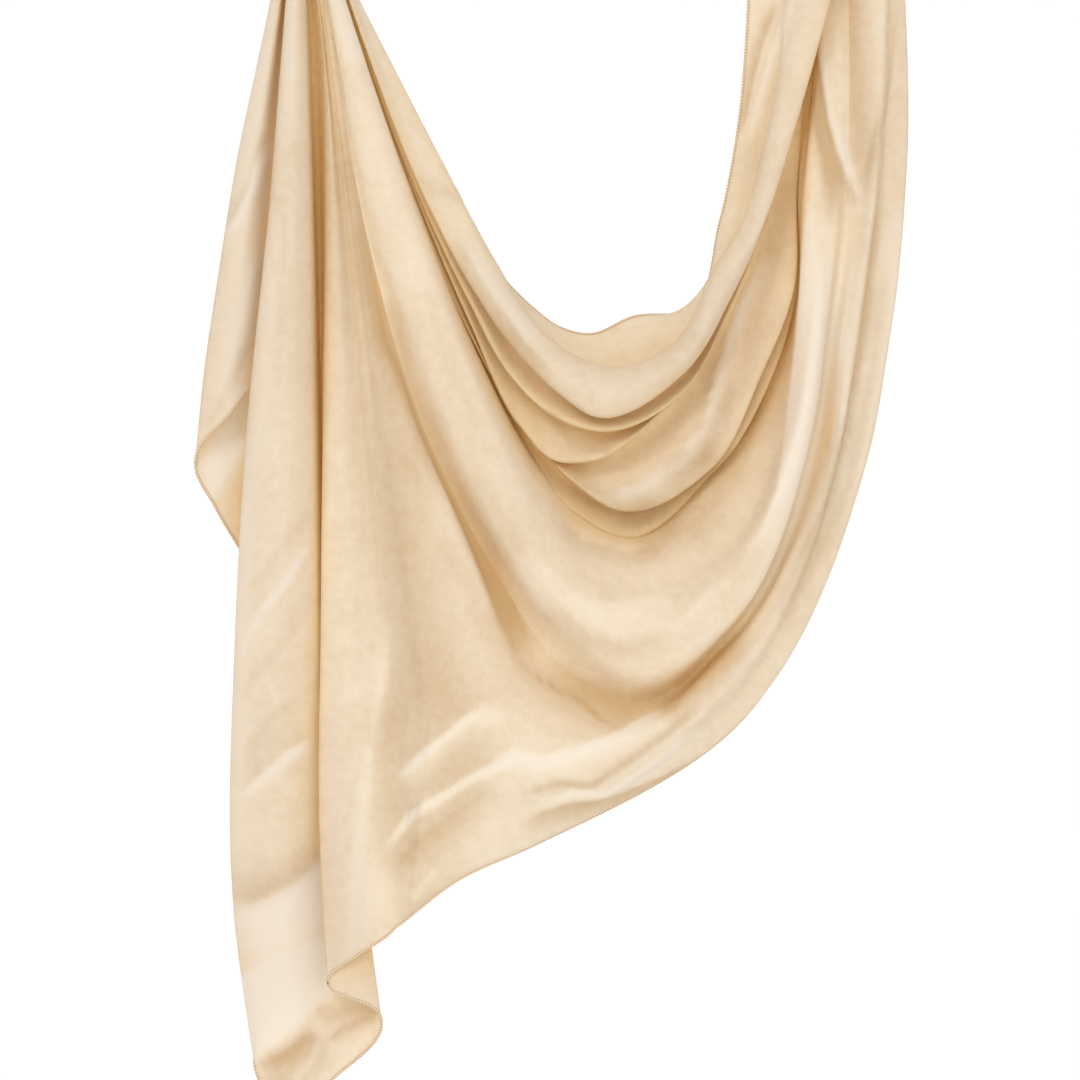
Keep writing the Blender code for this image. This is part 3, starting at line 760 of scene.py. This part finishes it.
def evenly(points, step):
    """Points at even steps along a line of points, and how far along each lies."""
    travelled = np.concatenate([[0], np.linalg.norm(np.diff(points, axis=0), axis=1).cumsum()])
    places = np.linspace(0, travelled[-1], max(2, round(travelled[-1] / step)) + 1)
    found = [np.interp(places, travelled, points[:, k]) for k in range(points.shape[1])]
    return np.stack(found, axis=1), places


def tube(made, middle, inward, radius, sides, slot):
    """Adds a closed tube along the middle line to a mesh that is being made."""
    along = unit(np.gradient(middle, axis=0))
    side = unit(inward - (inward * along).sum(axis=1, keepdims=True) * along)
    other = np.cross(along, side)
    turns = np.arange(sides) * 2 * np.pi / sides
    ring = np.cos(turns)[:, None, None] * side + np.sin(turns)[:, None, None] * other
    places = (middle + radius * ring).transpose(1, 0, 2) * MM
    points = [[made.verts.new(place) for place in line] for line in places]
    for one, two in zip(points, points[1:]):
        for k in range(sides):
            face = made.faces.new((one[k], one[k - 1], two[k - 1], two[k]))
            face.material_index = slot
            face.smooth = True
    made.faces.new(points[0]).material_index = slot
    made.faces.new(points[-1][::-1]).material_index = slot


def rolled_hem(name, edge, inner):
    """The roll along an edge of the cloth, with the row just inside it, and the thread that whips it."""
    both, _ = evenly(np.concatenate([edge, inner], axis=1), HEM_STEP)
    inward = unit(both[:, 3:] - both[:, :3])
    middle = both[:, :3] + inward * HEM_RADIUS
    made = bmesh.new()
    tube(made, middle, inward, HEM_RADIUS, HEM_SIDES, 0)
    fine, places = evenly(np.concatenate([middle, inward], axis=1), STITCH_PITCH / STITCH_STEPS)
    along = unit(np.gradient(fine[:, :3], axis=0))
    side = unit(fine[:, 3:] - (fine[:, 3:] * along).sum(axis=1, keepdims=True) * along)
    turn = places[:, None] * 2 * np.pi / STITCH_PITCH
    outward = np.cos(turn) * side + np.sin(turn) * np.cross(along, side)
    tube(made, fine[:, :3] + outward * HEM_RADIUS, outward, THREAD_RADIUS, THREAD_SIDES, 1)
    mesh = bpy.data.meshes.new(name)
    made.to_mesh(mesh)
    made.free()
    mesh.materials.append(hem_cloth)
    mesh.materials.append(thread)
    hem = bpy.data.objects.new(name + "_roll", mesh)
    bpy.context.scene.collection.objects.link(hem)
    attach(hem, "root")
    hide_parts(name)
    return hem


roll = roll_parts[0][0]
band = main_parts[0][0]
fall_panel = main_parts[1][0]
front = fall_parts[0][0]
end = outer_parts[0][0]
front_turn = fall_places["front_turn"] - fall_places["gap"]
outer_turn = outer_places["outer_turn"]
lower_edge = np.concatenate([band[-1][:meeting:-1], fall_panel[:-1, -1], front[: front_turn + 1, -1]])
lower_inner = np.concatenate([band[-2][:meeting:-1], fall_panel[:-1, -2], front[: front_turn + 1, -2]])
side_edge = np.concatenate([end[outer_turn:-1, -1], end[-1][::-1]])
side_inner = np.concatenate([end[outer_turn:-1, -2], end[-2][::-1]])
top_hem = rolled_hem("top_hem", roll[0], roll[1])
bottom_hem = rolled_hem("bottom_hem", lower_edge, lower_inner)
front_hem = rolled_hem("front_hem", front[front_turn:, -1], front[front_turn:, -2])
outer_hem = rolled_hem("outer_hem", end[: outer_turn + 1, -1], end[: outer_turn + 1, -2])
side_hem = rolled_hem("side_hem", side_edge, side_inner)

# The studio
# ----------
# A plain white sweep, soft light from the front above, and a lit backdrop that glows through the thin cloth.
FLOOR = -1.25
FRONT = -6.0
BACK = 10.0  # far behind, so that the back of the cloth can be looked at too
TOP = 6.0
BEND = 2.2
BEND_STEPS = 12
HALF_WIDTH = 6.0
GLOW = 0.21
DOME = 0.83
white = bpy.data.materials.new("studio_white")
white.use_nodes = True
paper = white.node_tree.nodes["Principled BSDF"]
paper.inputs["Base Color"].default_value = (0.92, 0.92, 0.92, 1)
paper.inputs["Roughness"].default_value = 0.9
paper.inputs["Emission Color"].default_value = (1, 1, 1, 1)
paper.inputs["Emission Strength"].default_value = GLOW
profile = [(FRONT, FLOOR), (BACK - BEND, FLOOR)]
for step in range(1, BEND_STEPS + 1):
    turn = np.pi / 2 * step / BEND_STEPS
    profile.append((BACK - BEND + BEND * np.sin(turn), FLOOR + BEND - BEND * np.cos(turn)))
profile.append((BACK, TOP))
points = [(x, y, z) for y, z in profile for x in (-HALF_WIDTH, HALF_WIDTH)]
faces = [(2 * i, 2 * i + 1, 2 * i + 3, 2 * i + 2) for i in range(len(profile) - 1)]
sweep_mesh = bpy.data.meshes.new("studio_sweep")
sweep_mesh.from_pydata(points, [], faces)
sweep_mesh.shade_smooth()
sweep_mesh.materials.append(white)
sweep = bpy.data.objects.new("studio_sweep", sweep_mesh)
bpy.context.scene.collection.objects.link(sweep)

world = bpy.data.worlds.new("soft_dome")
world.use_nodes = True
world.node_tree.nodes["Background"].inputs["Color"].default_value = (1, 1, 1, 1)
world.node_tree.nodes["Background"].inputs["Strength"].default_value = DOME
bpy.context.scene.world = world
bpy.context.scene.view_settings.view_transform = "Standard"


def soft_light(name, place, aim, size, power):
    """A square area light at place, pointing at aim."""
    lamp = bpy.data.lights.new(name, "AREA")
    lamp.size = size
    lamp.energy = power
    holder = bpy.data.objects.new(name, lamp)
    holder.location = place
    holder.rotation_euler = (Vector(aim) - Vector(place)).to_track_quat("-Z", "Y").to_euler()
    bpy.context.scene.collection.objects.link(holder)


PHOTO_SIDE = 0.81  # what the photograph's frame spans
DISTANCE = 3.2
centre = (0.1755, 0.0, -0.45)
soft_light("key", (-0.85, -1.95, 1.0), centre, 0.9, 16)
soft_light("fill", (1.3, -1.9, -0.1), centre, 1.4, 6)

camera = bpy.data.cameras.new("camera")
camera.sensor_width = 36
camera.lens = camera.sensor_width * DISTANCE / PHOTO_SIDE
camera.clip_end = 50
eye = bpy.data.objects.new("camera", camera)
eye.location = (centre[0], -DISTANCE, centre[2])
eye.rotation_euler = (np.pi / 2, 0, 0)
bpy.context.scene.collection.objects.link(eye)
bpy.context.scene.camera = eye
